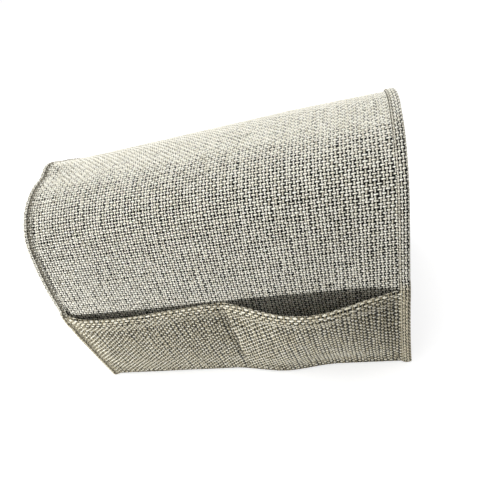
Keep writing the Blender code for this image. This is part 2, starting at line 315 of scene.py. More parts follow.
def rim_rings(front_ids, back_ids, keep_r, keep_c):
    """Faces between the edges of the front and of the back, which has fewer lines."""
    rings = []
    for lines, front_line, back_line, flip in (
        (keep_c, front_ids[0], back_ids[0], False),
        (keep_c, front_ids[-1], back_ids[-1], True),
        (keep_r, front_ids[:, 0], back_ids[:, 0], True),
        (keep_r, front_ids[:, -1], back_ids[:, -1], False),
    ):
        for k, (start, end) in enumerate(zip(lines, lines[1:])):
            ring = [*front_line[start : end + 1].tolist(), int(back_line[k + 1]), int(back_line[k])]
            rings.append(ring[::-1] if flip else ring)
    return rings


def bake_layout(cells_u, rows, keep_r, keep_c, corner, first_rim, rings):
    """A flat layout for baking: the front below, the back above, and the rims in thin margins."""
    across = (cells_u - cells_u[0]) / (cells_u[-1] - cells_u[0])
    across = BAKE_MARGIN + (1 - 2 * BAKE_MARGIN) * across
    down = np.arange(rows) / (rows - 1)
    front_down = BAKE_MARGIN + (BAKE_FRONT_TOP - BAKE_MARGIN) * down
    back_down = BAKE_BACK_LOW + (1 - BAKE_BACK_LOW - BAKE_MARGIN) * down
    front = grid_of(across, front_down)
    placed = np.concatenate([front, grid_of(across[keep_c], back_down[keep_r])])[corner]
    # On a rim, a back corner lies just outside the front corner that it faces
    rim_corner = corner[first_rim:]
    on_back = rim_corner >= len(front)
    back_row, back_column = np.divmod(rim_corner - len(front), len(keep_c))
    facing_row = np.asarray(keep_r)[np.clip(back_row, 0, len(keep_r) - 1)]
    facing = facing_row * len(cells_u) + np.asarray(keep_c)[back_column]
    ring_of = np.searchsorted(
        np.cumsum([len(ring) for ring in rings]), np.arange(len(rim_corner)), side="right"
    )
    edges = np.cumsum([len(keep_c) - 1, len(keep_c) - 1, len(keep_r) - 1])
    out = BAKE_MARGIN * np.array(BAKE_WAYS_OUT)[np.digitize(ring_of, edges)]
    placed[first_rim:][on_back] = (front[facing] + out)[on_back]
    return placed


def cloth_mesh(name, front, back, cells_u, cells_v, step=BACK_STEP):
    """A closed cloth: a fine front, a coarser back on some of its lines, and a rim between them."""
    rows, columns = front.shape[:2]
    keep_r, keep_c = coarse_lines(rows, step), coarse_lines(columns, step)
    kept = back[np.ix_(keep_r, keep_c)]
    f = np.arange(rows * columns).reshape(rows, columns)
    b = f.size + np.arange(len(keep_r) * len(keep_c)).reshape(len(keep_r), len(keep_c))
    quads = np.stack([f[:-1, :-1], f[1:, :-1], f[1:, 1:], f[:-1, 1:]], -1).reshape(-1, 4)
    back_quads = np.stack([b[:-1, :-1], b[:-1, 1:], b[1:, 1:], b[1:, :-1]], -1).reshape(-1, 4)
    rings = rim_rings(f, b, keep_r, keep_c)
    mesh = bpy.data.meshes.new(name)
    verts = np.concatenate([front.reshape(-1, 3), kept.reshape(-1, 3)])
    mesh.from_pydata(verts.tolist(), [], quads.tolist() + back_quads.tolist() + rings)
    corner = np.empty(len(mesh.loops), int)
    mesh.loops.foreach_get("vertex_index", corner)
    # The cloth's own coordinates, in cells
    cells_u, cells_v = np.asarray(cells_u), np.asarray(cells_v)
    cells = np.concatenate([grid_of(cells_u, cells_v), grid_of(cells_u[keep_c], cells_v[keep_r])])
    weave = mesh.uv_layers.new(name="weave")
    weave.data.foreach_set("uv", cells[corner].ravel())
    first_rim = 4 * (len(quads) + len(back_quads))
    layout = bake_layout(cells_u, rows, keep_r, keep_c, corner, first_rim, rings)
    bake = mesh.uv_layers.new(name="OFBake")
    bake.data.foreach_set("uv", layout.ravel())
    mesh.uv_layers.active = weave
    weave.active_render = True
    mesh.shade_smooth()
    mesh.validate()
    return mesh


def add_piece(name, mesh, material, slot, *nodes):
    piece = bpy.data.objects.new(name, mesh)
    bpy.context.scene.collection.objects.link(piece)
    piece.data.materials.append(material)
    if nodes:
        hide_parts(*nodes)
    return piece


def bend(piece):
    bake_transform(piece)


class Nodes:
    """Builds a material's nodes with one short call for each."""

    def __init__(self, name):
        self.material = bpy.data.materials.new(name)
        self.material.use_nodes = True
        self.tree = self.material.node_tree
        self.shader = self.tree.nodes["Principled BSDF"]

    def put(self, socket, value):
        if isinstance(value, bpy.types.NodeSocket):
            self.tree.links.new(value, socket)
        else:
            socket.default_value = value

    def give(self, **values):
        """Sets the shader's sockets. Their names are written with _ for each space."""
        for name, value in values.items():
            self.put(self.shader.inputs[name.replace("_", " ")], value)

    def math(self, how, a, b=0.0, c=0.0):
        node = self.tree.nodes.new("ShaderNodeMath")
        node.operation = how
        for socket, value in zip(node.inputs, (a, b, c)):
            self.put(socket, value)
        return node.outputs[0]

    def add(self, a, b):
        return self.math("ADD", a, b)

    def sub(self, a, b):
        return self.math("SUBTRACT", a, b)

    def mul(self, a, b):
        return self.math("MULTIPLY", a, b)

    def off(self, a, b):
        """Distance between two values."""
        return self.math("ABSOLUTE", self.sub(a, b))

    def floor(self, a):
        return self.math("FLOOR", a)

    def step(self, value, low, high, to_low=0.0, to_high=1.0):
        node = self.tree.nodes.new("ShaderNodeMapRange")
        node.interpolation_type = "SMOOTHSTEP"
        for socket, given in zip(node.inputs, (value, low, high, to_low, to_high)):
            self.put(socket, given)
        return node.outputs[0]

    def vector(self, x, y, z=0.0):
        node = self.tree.nodes.new("ShaderNodeCombineXYZ")
        for socket, value in zip(node.inputs, (x, y, z)):
            self.put(socket, value)
        return node.outputs[0]

    def random(self, value):
        node = self.tree.nodes.new("ShaderNodeTexWhiteNoise")
        node.noise_dimensions = "1D"
        self.put(node.inputs["W"], value)
        return node.outputs["Value"]

    def noise(self, vector, scale, detail=2.0, roughness=0.5):
        node = self.tree.nodes.new("ShaderNodeTexNoise")
        self.put(node.inputs["Vector"], vector)
        self.put(node.inputs["Scale"], scale)
        self.put(node.inputs["Detail"], detail)
        self.put(node.inputs["Roughness"], roughness)
        return node.outputs["Fac"]

    def ramp(self, value, *stops):
        node = self.tree.nodes.new("ShaderNodeValToRGB")
        elements = node.color_ramp.elements
        while len(elements) < len(stops):
            elements.new(0.5)
        for element, (at, colour) in zip(elements, stops):
            element.position = at
            element.color = (*colour, 1)
        self.put(node.inputs[0], value)
        return node.outputs[0]

    def mix(self, factor, a, b, how="MIX"):
        node = self.tree.nodes.new("ShaderNodeMix")
        node.data_type = "RGBA"
        node.blend_type = how
        self.put(node.inputs[0], factor)
        self.put(node.inputs[6], a)
        self.put(node.inputs[7], b)
        return node.outputs[2]

    def cells(self):
        uv = self.tree.nodes.new("ShaderNodeUVMap")
        uv.uv_map = "weave"
        split = self.tree.nodes.new("ShaderNodeSeparateXYZ")
        self.tree.links.new(uv.outputs[0], split.inputs[0])
        return split.outputs[0], split.outputs[1]

    def position(self):
        return self.tree.nodes.new("ShaderNodeNewGeometry").outputs["Position"]

    def bump(self, height, strength, distance):
        node = self.tree.nodes.new("ShaderNodeBump")
        node.inputs["Strength"].default_value = strength
        node.inputs["Distance"].default_value = distance
        self.put(node.inputs["Height"], height)
        self.tree.links.new(node.outputs[0], self.shader.inputs["Normal"])


# Yarn colours and shade. Widths are in cells, and a flat zone is in rows of v. A noise is given as
# scale, detail and roughness, and a step as its two places and the values there.
Yarn = namedtuple("Yarn", "stops half_width float_half")
FlatZone = namedtuple("FlatZone", "row inner outer gain")
STOP_PLACES = (0.22, 0.40, 0.58, 0.85)
CROWN_ROWS = (8.0, 30.0)
# Half width of the change from one yarn's colour to the other's
TOP_YARN_EDGE = 0.1
HOLE_SPREAD = 0.10
HOLE_SHADE = 0.008
YARN_EDGE = 0.025
RAGGED_EDGE = 0.30
RAGGED_NOISE = (1.3, 2.0, 0.6)
DIP_RUN = 0.30
DIP_SHADE = 0.08
FLANK_SHADE = (0.12, 0.30, 1.0, 0.85)
FIBRE_ACROSS, FIBRE_ALONG = 7.0, 1.4
FIBRE_NOISE = (1.0, 3.0, 0.65)
SLUB_ACROSS, SLUB_ALONG = 3.7, 0.3
SLUB_NOISE = (1.0, 3.0, 0.6)
OWN_TONE, SLUB_TONE, FIBRE_TONE, CROSSING_TONE = 0.10, 0.22, 0.43, 0.34
# Steps from row to row of the numbers that tell holes, crossings and yarns apart
HOLE_STRIDE, CROSSING_STRIDE = 311.0, 173.0
WEFT_SEED_STEPS = {"edge": 3.0, "slub": 5.0, "fibre": 9.0, "own": 401.5}
YARN_BUMP = (0.7, 0.0005)
YARN_ROUGHNESS = (0.3, 0.7, 0.82, 0.98)
CLOTH_SPECULAR = 0.2


def stops(*colours):
    return tuple(zip(STOP_PLACES, colours))


WEFT_STOPS = stops(
    (0.780, 0.740, 0.610), (0.950, 0.922, 0.805), (0.985, 0.962, 0.865), (0.990, 0.978, 0.900)
)
# The cover's and the tape's warps are darker than the wefts, partly in their own tone and partly as
# painted shade: under light from above the warp floats are shaded and the weft floats lit
SHADED_WARP_STOPS = stops(
    (0.400, 0.366, 0.275), (0.660, 0.625, 0.513), (0.800, 0.770, 0.660), (0.910, 0.890, 0.790)
)
TAPE_SHADED_WARP_STOPS = stops(
    (0.380, 0.350, 0.265), (0.620, 0.585, 0.480), (0.770, 0.740, 0.635), (0.880, 0.860, 0.765)
)
POCKET_WEFT_STOPS = stops(
    (0.540, 0.480, 0.330), (0.770, 0.722, 0.565), (0.880, 0.845, 0.705), (0.965, 0.945, 0.850)
)
# The pocket's warp is darker still, as painted shade of its deep warp floats
POCKET_SHADED_WARP_STOPS = stops(
    (0.110, 0.090, 0.050), (0.225, 0.193, 0.118), (0.350, 0.310, 0.205), (0.500, 0.455, 0.330)
)


def woven_material(name, seed, warp, weft, flat, crown_lit_spread=0.0, shading=None):
    """Coarse plain weave of slub yarns: a tone for each yarn and crossing, and dark holes.

    Painted shade darkens the holes, the dips and the flanks of the yarns. Over the crown the yarns
    are spread wider than on the sides, which closes the painted-dark holes there: painted light
    from above.
    In the flat zone the painted shade of the dips is weaker. shading gives pairs of a mask and a
    tint, for painted shade and for the tape's seams.
    """
    n = Nodes(name)
    u, v = n.cells()
    weft_seeds = {use: seed + step for use, step in WEFT_SEED_STEPS.items()}
    # Painted light from above: over the crown the yarns spread wider and close the painted-dark
    # holes
    spread = n.step(n.math("ABSOLUTE", v), *CROWN_ROWS, crown_lit_spread, 0.0)
    flatter = n.step(n.off(v, flat.row), flat.inner, flat.outer, flat.gain, 0.0)
    # Each hole between the yarns is open by its own share
    hole_i, hole_j = n.floor(n.add(u, 0.5)), n.floor(n.add(v, 0.5))
    hole = n.random(n.add(hole_i, n.mul(hole_j, HOLE_STRIDE)))
    closing = n.mul(n.sub(hole, 0.5), HOLE_SPREAD)
    i, j = n.floor(u), n.floor(v)
    # Which yarn lies on top: 0 where the warp does and 1 where the weft does
    parity = n.math("FLOORED_MODULO", n.add(i, j), 2.0)
    other = n.sub(1.0, parity)

    def across(place_in_cell, a, b, offset):
        """Distance from the yarn's middle, uneven along its edge."""
        ragged = n.mul(n.sub(n.noise(n.vector(a, b, offset), *RAGGED_NOISE), 0.5), RAGGED_EDGE)
        return n.sub(n.add(place_in_cell, ragged), closing)

    def covered(yarn, distance):
        low, high = yarn.half_width - YARN_EDGE, yarn.half_width + YARN_EDGE
        return n.step(n.sub(distance, spread), low, high, 1.0, 0.0)

    def lit(yarn, seen, distance, along, under):
        """A yarn keeps its colour on the crest of its float, with painted shade where it dips under
        the next one and on its flanks.
        """
        far = n.sub(n.off(under, along), flatter)
        dip = n.step(far, yarn.float_half, yarn.float_half + DIP_RUN, 1.0, DIP_SHADE)
        return n.mul(seen, n.mul(dip, n.step(distance, *FLANK_SHADE)))

    du, dv = n.off(n.sub(u, i), 0.5), n.off(n.sub(v, j), 0.5)
    warp_across = across(du, u, v, seed)
    weft_across = across(dv, v, u, weft_seeds["edge"])
    warp_on, weft_on = covered(warp, warp_across), covered(weft, weft_across)
    warp_seen = n.mul(warp_on, n.sub(1.0, n.mul(parity, weft_on)))
    weft_seen = n.mul(weft_on, n.sub(1.0, n.mul(other, warp_on)))
    warp_lit = lit(warp, warp_seen, warp_across, dv, parity)
    weft_lit = lit(weft, weft_seen, weft_across, du, other)
    # Painted shade of the weave: the holes keep only a trace of the yarns' colour
    shade = n.add(n.add(warp_lit, weft_lit), HOLE_SHADE)

    def fibres(x, y, offset):
        return n.noise(n.vector(x, y, offset), *FIBRE_NOISE)

    def slubs(x, y, offset):
        return n.noise(n.vector(x, y, offset), *SLUB_NOISE)

    warp_fibre = fibres(n.mul(u, FIBRE_ACROSS), n.mul(v, FIBRE_ALONG), seed)
    weft_fibre = fibres(n.mul(u, FIBRE_ALONG), n.mul(v, FIBRE_ACROSS), weft_seeds["fibre"])
    warp_slub = slubs(n.mul(i, SLUB_ACROSS), n.mul(v, SLUB_ALONG), seed)
    weft_slub = slubs(n.mul(u, SLUB_ALONG), n.mul(j, SLUB_ACROSS), weft_seeds["slub"])
    crossing = n.mul(n.random(n.add(i, n.mul(j, CROSSING_STRIDE))), CROSSING_TONE)

    def tone(line, offset, slub, fibre):
        own = n.mul(n.random(n.add(line, offset)), OWN_TONE)
        return n.add(n.add(own, n.mul(slub, SLUB_TONE)), n.add(n.mul(fibre, FIBRE_TONE), crossing))

    warp_colour = n.ramp(tone(i, seed, warp_slub, warp_fibre), *warp.stops)
    weft_colour = n.ramp(tone(j, weft_seeds["own"], weft_slub, weft_fibre), *weft.stops)
    which = n.step(n.sub(weft_seen, warp_seen), -TOP_YARN_EDGE, TOP_YARN_EDGE)
    colour = n.mix(which, warp_colour, weft_colour)
    for mask, tint in shading(n, u, v) if shading else ():
        colour = n.mix(mask, colour, n.mix(1.0, colour, (*tint, 1.0), "MULTIPLY"))
    fibre = n.add(n.mul(weft_fibre, which), n.mul(warp_fibre, n.sub(1.0, which)))
    n.give(
        Base_Color=n.mix(1.0, colour, n.vector(shade, shade, shade), "MULTIPLY"),
        Roughness=n.step(fibre, *YARN_ROUGHNESS),
        Specular_IOR_Level=CLOTH_SPECULAR,
    )
    n.bump(fibre, *YARN_BUMP)
    return n.material


POCKET_ROWS = 53
# Painted shade in the fold at the hem
HEM_FOLD_ROWS = (46.0, 48.2)
HEM_FOLD_SHADE_TINT = (0.28, 0.26, 0.22)
# Painted shade on the tape beside the pocket
BESIDE_POCKET_ROWS = (61.0, 66.0)
BESIDE_POCKET_SHADE_TINT = (0.74, 0.70, 0.60)
# The left tape's seam runs inside its edge, and the right tape's along it
SEAMS_MIDDLE = 3.15
SEAMS_HALF_APART = 51.85
SEAM_HALF_WIDTHS = (0.20, 0.65)
SEAM_TINT = (0.26, 0.25, 0.22)


def pocket_shading(n, u, v):
    """The fold at the hem is darkened with painted shade."""
    return [(n.step(v, *HEM_FOLD_ROWS), HEM_FOLD_SHADE_TINT)]


def tape_shade_and_seams(n, u, v):
    """The tape is darker and warmer beside the pocket, as painted shade. Each end of the cloth has
    one seam.
    """
    from_seam = n.off(n.off(u, SEAMS_MIDDLE), SEAMS_HALF_APART)
    # Painted shade beside the pocket
    beside_pocket = n.step(n.math("ABSOLUTE", v), *BESIDE_POCKET_ROWS)
    seam = n.step(from_seam, *SEAM_HALF_WIDTHS, 1.0, 0.0)
    return [(beside_pocket, BESIDE_POCKET_SHADE_TINT), (seam, SEAM_TINT)]


# At the crown the yarns spread wider and dip less: painted light from above, which weakens the
# painted shade of the holes and dips
cover_material = woven_material(
    "cover_cloth", seed=3.0,
    warp=Yarn(SHADED_WARP_STOPS, half_width=0.195, float_half=0.40),
    weft=Yarn(WEFT_STOPS, half_width=0.225, float_half=0.33),
    flat=FlatZone(row=0.0, inner=8.0, outer=26.0, gain=0.12),
    crown_lit_spread=0.045,
)
pocket_material = woven_material(
    "pocket_cloth", seed=17.0,
    warp=Yarn(POCKET_SHADED_WARP_STOPS, half_width=0.180, float_half=0.38),
    weft=Yarn(POCKET_WEFT_STOPS, half_width=0.270, float_half=0.21),
    flat=FlatZone(row=5.2, inner=1.5, outer=3.0, gain=0.22),
    shading=pocket_shading,
)
tape_material = woven_material(
    "tape_cloth", seed=29.0,
    warp=Yarn(TAPE_SHADED_WARP_STOPS, half_width=0.190, float_half=0.42),
    weft=Yarn(WEFT_STOPS, half_width=0.250, float_half=0.30),
    flat=FlatZone(row=0.0, inner=8.0, outer=26.0, gain=0.0),
    shading=tape_shade_and_seams,
)

# Lining, grip dots and thread
LINING_MOTTLE = (0.12, 4.0, 0.6)
LINING_FIBRE = (3.0, 3.0, 0.6)
LINING_ROUGHNESS = (0.3, 0.7, 0.85, 0.97)
LINING_BUMP = (0.5, 0.0003)
RIB_TONE, MOTTLE_TONE, NAP_TONE = 0.2, 0.4, 0.3
SPECKS_PER_METRE = 900.0
SPECK_ROUGHNESS = (0.3, 0.7, 0.45, 0.6)
SPECK_BUMP = (0.2, 0.0001)
TWISTS_PER_METRE, TWIST_DISTORTION = 900.0, 1.5
FLUFF_PER_METRE = 2500.0
THREAD_ROUGHNESS = (0.3, 0.7, 0.7, 0.9)
THREAD_BUMP = (0.4, 0.0002)


def plain_cloth_material(name, low, high):
    """Fine grey backing cloth: tight threads, a faint mottle and a soft nap."""
    n = Nodes(name)
    u, v = n.cells()
    threads = [n.math("ABSOLUTE", n.math("SINE", n.mul(cell, math.pi))) for cell in (u, v)]
    ribs = n.add(*threads)
    mottle = n.noise(n.vector(u, v), *LINING_MOTTLE)
    fibre = n.noise(n.vector(u, v), *LINING_FIBRE)
    nap = n.add(n.mul(mottle, MOTTLE_TONE), n.mul(fibre, NAP_TONE))
    value = n.add(n.mul(ribs, RIB_TONE), nap)
    n.give(
        Base_Color=n.ramp(value, (0.3, low), (0.8, high)),
        Roughness=n.step(fibre, *LINING_ROUGHNESS),
        Specular_IOR_Level=CLOTH_SPECULAR,
    )
    n.bump(n.add(ribs, fibre), *LINING_BUMP)
    return n.material


def rubber_material(name, low, high):
    n = Nodes(name)
    speck = n.noise(n.position(), SPECKS_PER_METRE)
    n.give(
        Base_Color=n.ramp(speck, (0.3, low), (0.7, high)),
        Roughness=n.step(speck, *SPECK_ROUGHNESS),
    )
    n.bump(speck, *SPECK_BUMP)
    return n.material


def thread_look(name, dark, light):
    """Sewing thread: a fine twist along each stitch with a little fluff."""
    n = Nodes(name)
    spot = n.position()
    twist = n.tree.nodes.new("ShaderNodeTexWave")
    twist.bands_direction = "DIAGONAL"
    n.put(twist.inputs["Vector"], spot)
    n.put(twist.inputs["Scale"], TWISTS_PER_METRE)
    n.put(twist.inputs["Distortion"], TWIST_DISTORTION)
    fluff = n.noise(spot, FLUFF_PER_METRE)
    value = n.add(n.mul(twist.outputs["Fac"], 0.5), n.mul(fluff, 0.5))
    n.give(
        Base_Color=n.ramp(value, (0.2, dark), (0.8, light)),
        Roughness=n.step(fluff, *THREAD_ROUGHNESS),
    )
    n.bump(value, *THREAD_BUMP)
    return n.material


lining_material = plain_cloth_material("lining_cloth", (0.30, 0.295, 0.28), (0.46, 0.45, 0.43))
dot_material = rubber_material("grip_rubber", (0.20, 0.20, 0.19), (0.26, 0.26, 0.25))
# The thread is darker than its own cream, partly as painted shade of the stitched groove
thread_material = thread_look("sewing_thread", (0.30, 0.27, 0.20), (0.56, 0.52, 0.42))

# Cover
FINE_GIRTH_CELLS = 79
PLAIN_ROWS = 9
COVER_HEM_GAP = 0.0017
COVER_SINK = 0.0003
GIRTH_CELLS = 130

warp_wander = wander(
    WARP_SEED, COVER_CELLS, -GIRTH_CELLS, GIRTH_CELLS, KNOTS_APART, WARP_WANDER
)
warp_body = wander(
    BODY_SEED, COVER_CELLS, -GIRTH_CELLS, GIRTH_CELLS, BODY_KNOTS_APART, BODY_SIZE
)


def fade_in(cells, count):
    return smooth(np.minimum(cells, count - cells) / STILL_CELLS)


def cover(side):
    u = mesh_lines(COVER_CELLS)
    # Under the pocket the cover is plain, because its weave isn't seen there
    last = (HEM_GIRTH - COVER_HEM_GAP) / WEFT_PITCH
    plain = np.linspace(FINE_GIRTH_CELLS, last, PLAIN_ROWS + 1)[1:]
    v = np.concatenate([mesh_lines(FINE_GIRTH_CELLS), plain])
    relief = (v <= FINE_GIRTH_CELLS - 0.5).astype(float)
    uu, vv = np.meshgrid(u, v)
    weft_wander = wander(side.seed, GIRTH_CELLS, 0, COVER_CELLS, KNOTS_APART, WEFT_WANDER)
    sway = warp_wander(np.floor(uu), side.sign * vv) * fade_in(uu, COVER_CELLS)
    dip = weft_wander(np.floor(vv), uu) * smooth(vv)
    x = (uu + sway - COVER_CELLS / 2) * WARP_PITCH
    girth = np.clip((vv + dip) * WEFT_PITCH, 0, None)
    girth[0] = 0
    centre, signed, relief = ordered(side, place(side, x, girth, COVER_LIFT), side.sign * v, relief)
    uu, vv = np.meshgrid(u, signed)
    height = weave_height(uu, vv, 1 + warp_body(np.floor(uu - EDGE_NUDGE), vv)) * relief[:, None]
    # The edge columns lie flat under the tape
    height[:, [0, -1]] = 0
    front, back = faces_of(centre, COVER_THICKNESS, height - COVER_SINK)
    # At the crown the two halves share one normal
    crown = 0 if side.sign > 0 else -1
    front[crown], back[crown] = centre[crown], centre[crown]
    front[crown, :, 2] += COVER_THICKNESS / 2 - COVER_SINK + height[crown]
    back[crown, :, 2] -= COVER_THICKNESS / 2
    name = f"{side.name}_cover_cloth"
    mesh = cloth_mesh(name, front, back, u, signed)
    piece = add_piece(name, mesh, cover_material, "cover_cloth", f"{side.name}_cover", "top_cover")
    bend(piece)
    return piece


# Pocket cloth. The mouth is turned in and rolls fuller away from the tapes and the divider.
MOUTH_ROLL = 0.0011
FULL_MOUTH_ROLL = 0.0019
FREE_END_X = 0.162
ROLL_END_RUN = 0.012
ROLL_DIVIDER_RUN = 0.010
FOLD_DEPTH = 0.006
FOLD_RUN = 0.012
HEM_ROLL = 0.0019
# The mouth's right end sits lower on the near side
MOUTH_SKEW = 0.004
SKEW_START_X = 0.120
SKEW_RUN = 0.045
# Each bay swells a little, with a valley at the divider
PILLOW = 0.0022
VALLEY_HALF_WIDTH = 0.008
PILLOW_END_RUN = 0.014
PILLOW_TOP_SHARE = 0.25
PILLOW_FOOT_SHARE = 0.30
# Room for the relief of the cover's weave
RELIEF_ROOM = 0.0004
LEG_SHORTER = 0.001
LEG_POINTS, TURN_POINTS, FACE_POINTS, FOOT_POINTS = 12, 13, 120, 8
POCKET_CELLS = 106
POCKET_PITCH = COVER_CELLS * WARP_PITCH / POCKET_CELLS
POCKET_RELIEF = 0.9


def mouth_roll(x):
    """Radius of the turned-in mouth, which is pressed flat under the tapes and at the divider."""
    x = np.asarray(x, float)
    free = smooth((FREE_END_X - np.abs(x)) / ROLL_END_RUN)
    free = free * smooth(np.abs(x - DIVIDER_X) / ROLL_DIVIDER_RUN)
    return MOUTH_ROLL + (FULL_MOUTH_ROLL - MOUTH_ROLL) * free


def mouth_girth(side, x):
    _, droop = fullness(side, x)
    skew = MOUTH_SKEW * smooth((np.asarray(x) - SKEW_START_X) / SKEW_RUN) if side.sign > 0 else 0
    return MOUTH_GIRTH + droop + skew


def outer_lift(side, x, girth):
    """Lift of the middle of the pocket's outer ply."""
    gape, _ = fullness(side, x)
    mouth = mouth_girth(side, x)
    down = np.clip((girth - mouth) / (HEM_STITCH_GIRTH - mouth), 0, 1)
    fold = smooth(1 - (girth - mouth - FOLD_DEPTH) / FOLD_RUN)
    pillow = PILLOW * (1 - hump(x, DIVIDER_X, VALLEY_HALF_WIDTH))
    pillow = pillow * smooth((FREE_END_X - np.abs(x)) / PILLOW_END_RUN)
    pillow = pillow * smooth(down / PILLOW_TOP_SHARE) * smooth((1 - down) / PILLOW_FOOT_SHARE)
    base = OVER_COVER_LIFT + RELIEF_ROOM + 2 * mouth_roll(x) * fold
    return base + gape * (1 - down**BELLY_POWER) + pillow


def pocket_paths(side, x):
    """Middle of the cloth at each X: up inside the mouth, over its fold, down and round the hem."""
    mouth, roll = mouth_girth(side, x), mouth_roll(x)
    top = mouth + roll + POCKET_THICKNESS / 2
    top_lift = outer_lift(side, x, top)
    turn = np.linspace(0, math.pi, TURN_POINTS)[1:-1, None]
    leg = top + (MOUTH_TURN - LEG_SHORTER) * np.linspace(1, 0, LEG_POINTS)[:, None]
    hem_top = HEM_GIRTH - HEM_ROLL - POCKET_THICKNESS / 2
    face = top + (hem_top - top) * np.linspace(0, 1, FACE_POINTS)[:, None]
    face_lift = outer_lift(side, x, face)
    end_lift = face_lift[-1]
    middle, radius = (end_lift + LINING_LIFT) / 2, (end_lift - LINING_LIFT) / 2
    foot = hem_top + (HEM_GIRTH - HEM_TURN - hem_top) * np.linspace(0, 1, FOOT_POINTS)[:, None]
    parts = (
        (leg, outer_lift(side, x, leg) - 2 * roll),
        (top - roll * np.sin(turn), top_lift - roll - roll * np.cos(turn)),
        (face, face_lift),
        (hem_top + radius * np.sin(turn), middle + radius * np.cos(turn)),
        (foot, np.full_like(foot, LINING_LIFT)),
    )
    return [
        np.concatenate([np.broadcast_to(part[k], (len(part[k]), len(x))) for part in parts])
        for k in (0, 1)
    ]


def arc_resample(path_g, path_l, shares):
    """Points along each column's path at shares of its length. Rows run along the path."""
    step = np.hypot(np.diff(path_g, axis=0), np.diff(path_l, axis=0))
    length = np.concatenate([np.zeros((1, step.shape[1])), np.cumsum(step, axis=0)])
    girth, lift = np.empty(shares.shape), np.empty(shares.shape)
    for c in range(shares.shape[1]):
        at = shares[:, c] * length[-1, c]
        girth[:, c] = np.interp(at, length[:, c], path_g[:, c])
        lift[:, c] = np.interp(at, length[:, c], path_l[:, c])
    return girth, lift, length[-1]


def pocket(side):
    """The pocket cloth and its length from the turned-in end to the foot."""
    u, v = mesh_lines(POCKET_CELLS), mesh_lines(POCKET_ROWS)
    uu, vv = np.meshgrid(u, v)
    warp = wander(side.seed + 1, POCKET_CELLS, 0, POCKET_ROWS, KNOTS_APART, POCKET_WARP_WANDER)
    weft = wander(side.seed + 2, POCKET_ROWS + 1, 0, POCKET_CELLS, KNOTS_APART, POCKET_WEFT_WANDER)
    body = wander(side.seed + 3, POCKET_CELLS, 0, POCKET_ROWS, BODY_KNOTS_APART, BODY_SIZE)
    sway = warp(np.floor(uu), vv) * fade_in(uu, POCKET_CELLS)
    dip = weft(np.floor(vv), uu) * fade_in(vv, POCKET_ROWS)
    x = (uu + sway - POCKET_CELLS / 2) * POCKET_PITCH
    shares = np.clip((vv + dip) / POCKET_ROWS, 0, 1)
    paths = pocket_paths(side, (u - POCKET_CELLS / 2) * POCKET_PITCH)
    girth, lift, length = arc_resample(*paths, shares)
    centre, v = ordered(side, place(side, x, girth, lift), v)
    uu, vv = np.meshgrid(u, v)
    height = weave_height(uu, vv, 1 + body(np.floor(uu - EDGE_NUDGE), vv)) * POCKET_RELIEF
    name = f"{side.name}_pocket_cloth"
    mesh = cloth_mesh(name, *faces_of(centre, POCKET_THICKNESS, height), u, v)
    piece = add_piece(name, mesh, pocket_material, "pocket_cloth", f"{side.name}_pocket_panel")
    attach(piece, side.body)
    return piece, float(length.mean())


# Edge tapes
TAPE_CELLS = 8
TAPE_DIP = 0.0011
TAPE_RELIEF = 1.35
TAPE_HEM_GAP = 0.0003
TAPE_TURN_POINTS = 15
CLIMB_START = 0.010
CLIMB_RUN = 0.0097
DESCENT_RUN = 0.008


def tape_outer_lift(girth):
    """Lift of the outer leg, which climbs over the two plies at the mouth and steps down to one."""
    up = smooth((girth - (MOUTH_GIRTH - CLIMB_START)) / CLIMB_RUN)
    down = smooth((girth - MOUTH_GIRTH - MOUTH_TURN) / DESCENT_RUN)
    return OVER_COVER_LIFT + PLY_STEP * (2 * up - down)


def tape_section(lift_out):
    """X and lift of the tape's middle at the right end: outer leg, turn and inner leg."""
    radius = (lift_out - LINING_LIFT) / 2
    middle = (lift_out + LINING_LIFT) / 2
    leg = END_X - TAPE_INNER_X - radius - TAPE_THICKNESS / 2
    turn = np.linspace(0, math.pi, TAPE_TURN_POINTS)[1:-1]
    run = np.concatenate([[-leg, -leg / 2, 0], radius * np.sin(turn), [0, -leg / 2, -leg]])
    outer = [lift_out - TAPE_DIP, lift_out, lift_out]
    lift = np.concatenate([outer, middle + radius * np.cos(turn), [LINING_LIFT] * 3])
    return END_X - radius - TAPE_THICKNESS / 2 + run, lift


def tape(side, end):
    u = mesh_lines(TAPE_CELLS)
    last = (HEM_GIRTH - TAPE_HEM_GAP) / WEFT_PITCH
    v = np.concatenate([mesh_lines(int(last)), [last]])
    x, lift = np.empty((len(v), len(u))), np.empty((len(v), len(u)))
    for row, girth in enumerate(v * WEFT_PITCH):
        run, height = tape_section(float(tape_outer_lift(girth)))
        length = np.concatenate([[0], np.cumsum(np.hypot(np.diff(run), np.diff(height)))])
        at = u / TAPE_CELLS * length[-1]
        x[row] = np.interp(at, length, run)
        lift[row] = np.interp(at, length, height)
    centre = place(side, end * x, (v * WEFT_PITCH)[:, None], lift)
    centre, signed = ordered(side, centre, side.sign * v)
    if end < 0:
        centre = centre[:, ::-1]
    u = u + end * COVER_CELLS // 2
    height = weave_height(*np.meshgrid(u, signed), 1.0) * TAPE_RELIEF
    height[:, [0, -1]] = 0
    name = f"{side.name}_{ENDS[end]}_tape"
    mesh = cloth_mesh(name, *faces_of(centre, TAPE_THICKNESS, height), u, signed)
    nodes = f"{side.name}_{ENDS[end]}_binding", f"top_{ENDS[end]}_binding"
    piece = add_piece(name, mesh, tape_material, "binding_cloth", *nodes)
    bend(piece)
    return piece


# Lining
LINING_COLUMNS, LINING_ROWS = 133, 110
LINING_HEM_GAP = 0.0006
LINING_SINK = 0.0002
LINING_CELL = 0.0012
LINING_BACK_STEP = 4


